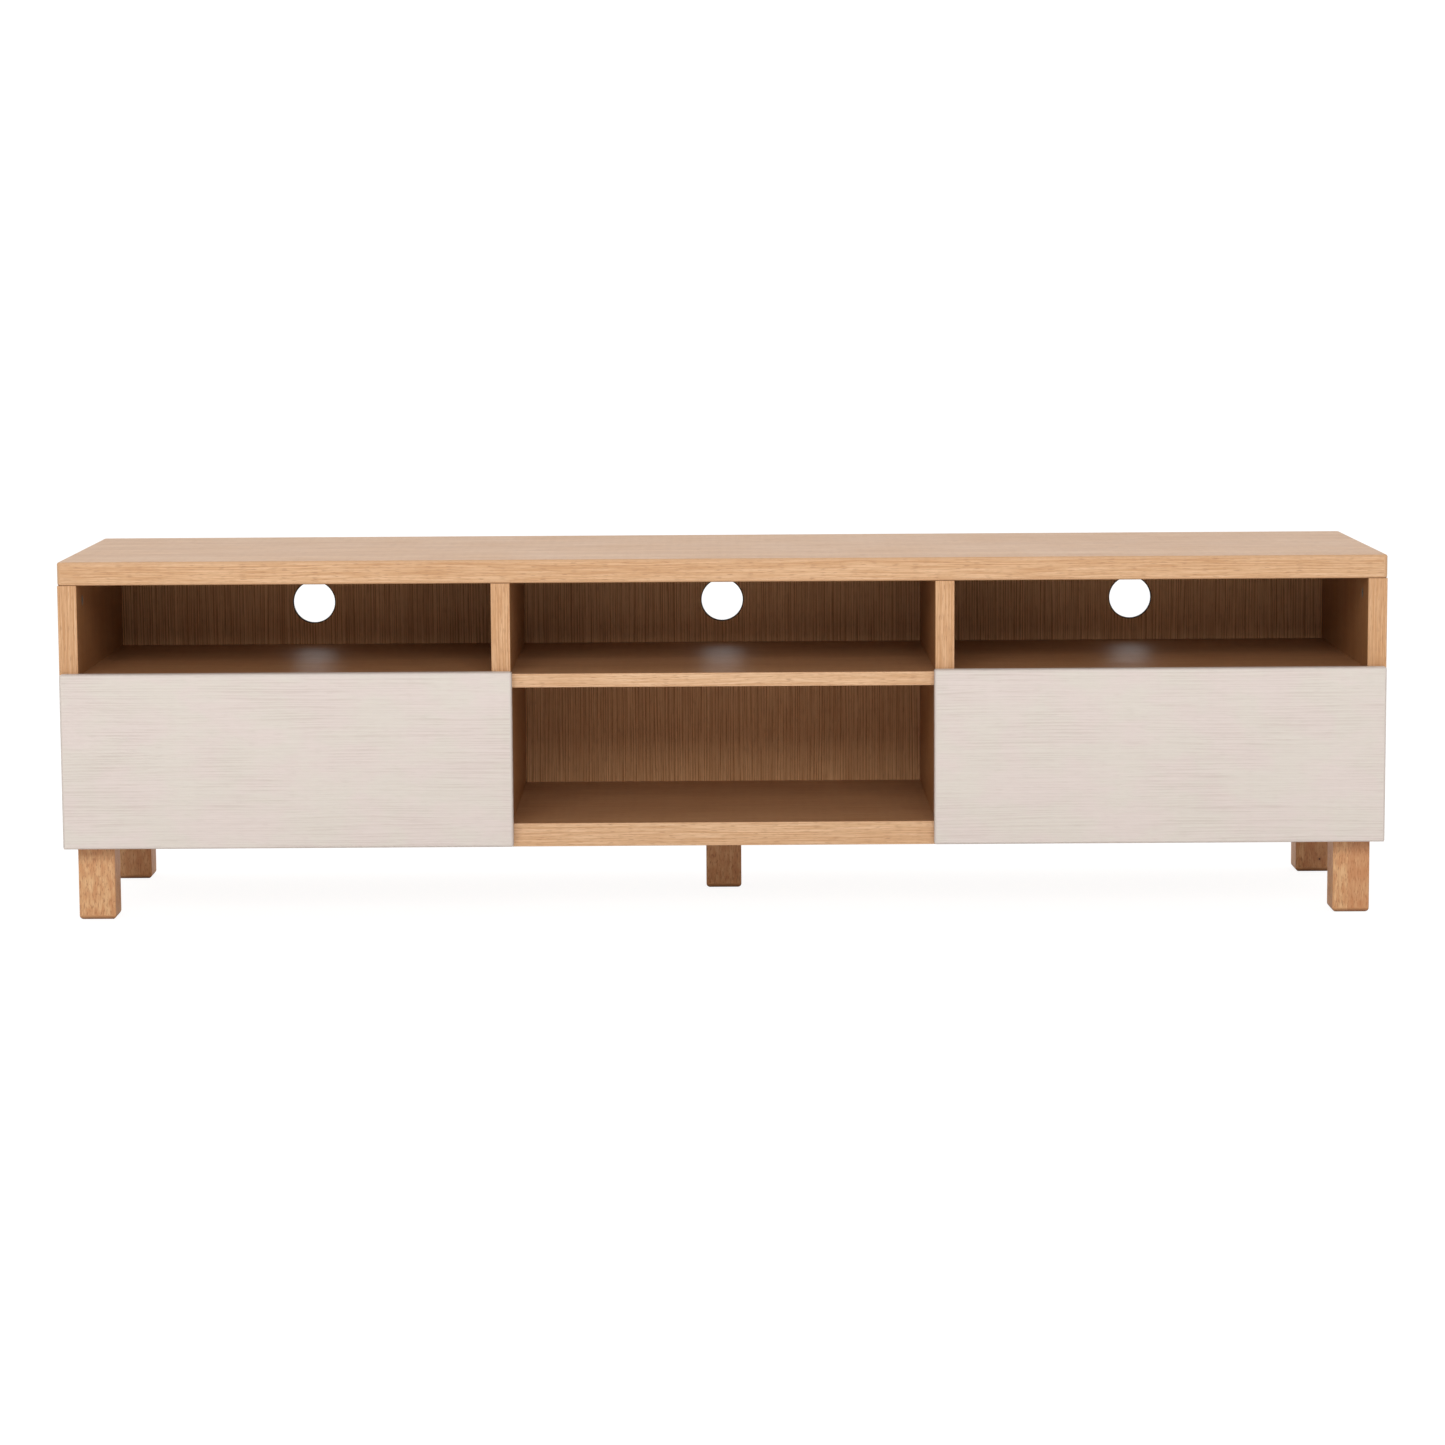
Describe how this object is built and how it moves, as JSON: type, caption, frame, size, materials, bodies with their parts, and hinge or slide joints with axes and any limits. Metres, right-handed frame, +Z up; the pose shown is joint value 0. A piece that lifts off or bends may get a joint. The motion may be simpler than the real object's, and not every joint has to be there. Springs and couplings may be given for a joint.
{
  "type": "media cabinet",
  "caption": "Low wooden media cabinet with open bays under the top, an open centre shelf and pull-out drawers, standing on short square legs.",
  "frame": {"origin": "on the floor, at the middle of the footprint, drawer fronts included", "axes": "+Z up, +X along the width to the right seen from the front, -Y out of the front, the way the drawers open"},
  "size_m": [1.8, 0.45, 0.492],
  "materials": {
    "oak_veneer": "light oak veneer under a satin lacquer",
    "oak_back": "thin board, oak veneer with upright grain",
    "solid_oak": "solid wood, oiled warm brown",
    "whitewashed_oak": "off-white limed wood grain, matt lacquer",
    "drawer_birch": "pale foil-wrapped drawer box board",
    "drawer_floor_board": "thin pale board",
    "beech": "fluted beech dowel",
    "rail_steel": "zinc-plated rolled sheet",
    "plated_steel": "zinc-plated screw",
    "zinc_casting": "die-cast zinc",
    "insert_brass": "turned brass",
    "latch_plastic": "light grey moulded plastic",
    "plunger_plastic": "off-white moulded plastic"
  },
  "bodies": {
    "carcass": {"top_panel": "oak_veneer", "left_side_panel": "oak_veneer", "right_side_panel": "oak_veneer", "left_divider": "oak_veneer", "right_divider": "oak_veneer", "bottom_panel": "oak_veneer", "centre_shelf": "oak_veneer", "left_deck": "oak_veneer", "right_deck": "oak_veneer", "left_back_panel": "oak_back", "centre_back_panel": "oak_back", "right_back_panel": "oak_back", "front_left_leg": "solid_oak", "front_right_leg": "solid_oak", "rear_left_leg": "solid_oak", "rear_right_leg": "solid_oak", "centre_leg": "solid_oak", "left_inner_cabinet_rail": "rail_steel", "left_outer_cabinet_rail": "rail_steel", "right_inner_cabinet_rail": "rail_steel", "right_outer_cabinet_rail": "rail_steel", "cam_locks": "zinc_casting", "cam_bolts": "plated_steel", "dowels": "beech", "divider_screws": "plated_steel", "leg_bolts": "plated_steel", "leg_inserts": "insert_brass", "cabinet_screws": "plated_steel", "left_latch_housing": "latch_plastic", "right_latch_housing": "latch_plastic"},
    "left_drawer": {"left_drawer_front": "whitewashed_oak", "left_drawer_box_front": "drawer_birch", "left_drawer_inner_side": "drawer_birch", "left_drawer_outer_side": "drawer_birch", "left_drawer_box_back": "drawer_birch", "left_drawer_floor": "drawer_floor_board", "left_drawer_box_screws": "plated_steel", "left_drawer_front_screws": "plated_steel", "left_drawer_rail_screws": "plated_steel", "left_inner_drawer_rail": "rail_steel", "left_outer_drawer_rail": "rail_steel"},
    "left_middle_rails": {"left_inner_middle_rail": "rail_steel", "left_outer_middle_rail": "rail_steel"},
    "left_plunger": {"left_latch_plunger": "plunger_plastic"},
    "right_drawer": {"right_drawer_front": "whitewashed_oak", "right_drawer_box_front": "drawer_birch", "right_drawer_inner_side": "drawer_birch", "right_drawer_outer_side": "drawer_birch", "right_drawer_box_back": "drawer_birch", "right_drawer_floor": "drawer_floor_board", "right_drawer_box_screws": "plated_steel", "right_drawer_front_screws": "plated_steel", "right_drawer_rail_screws": "plated_steel", "right_inner_drawer_rail": "rail_steel", "right_outer_drawer_rail": "rail_steel"},
    "right_middle_rails": {"right_inner_middle_rail": "rail_steel", "right_outer_middle_rail": "rail_steel"},
    "right_plunger": {"right_latch_plunger": "plunger_plastic"}
  },
  "joints": [
    {"name": "left_drawer_slide", "type": "slide", "parent": "carcass", "child": "left_drawer", "axis": [0, -1, 0], "range_m": [0, 0.38]},
    {"name": "left_middle_rails_slide", "type": "slide", "parent": "carcass", "child": "left_middle_rails", "axis": [0, -1, 0], "range_m": [0, 0.19]},
    {"name": "left_plunger_press", "type": "slide", "parent": "carcass", "child": "left_plunger", "axis": [0, 1, 0], "range_m": [0, 0.003], "stiffness_N_per_m": 300},
    {"name": "right_drawer_slide", "type": "slide", "parent": "carcass", "child": "right_drawer", "axis": [0, -1, 0], "range_m": [0, 0.38]},
    {"name": "right_middle_rails_slide", "type": "slide", "parent": "carcass", "child": "right_middle_rails", "axis": [0, -1, 0], "range_m": [0, 0.19]},
    {"name": "right_plunger_press", "type": "slide", "parent": "carcass", "child": "right_plunger", "axis": [0, 1, 0], "range_m": [0, 0.003], "stiffness_N_per_m": 300}
  ],
  "couplings": [
    {"joint": "left_middle_rails_slide", "follows": "left_drawer_slide", "ratio": 0.5},
    {"joint": "right_middle_rails_slide", "follows": "right_drawer_slide", "ratio": 0.5}
  ]
}
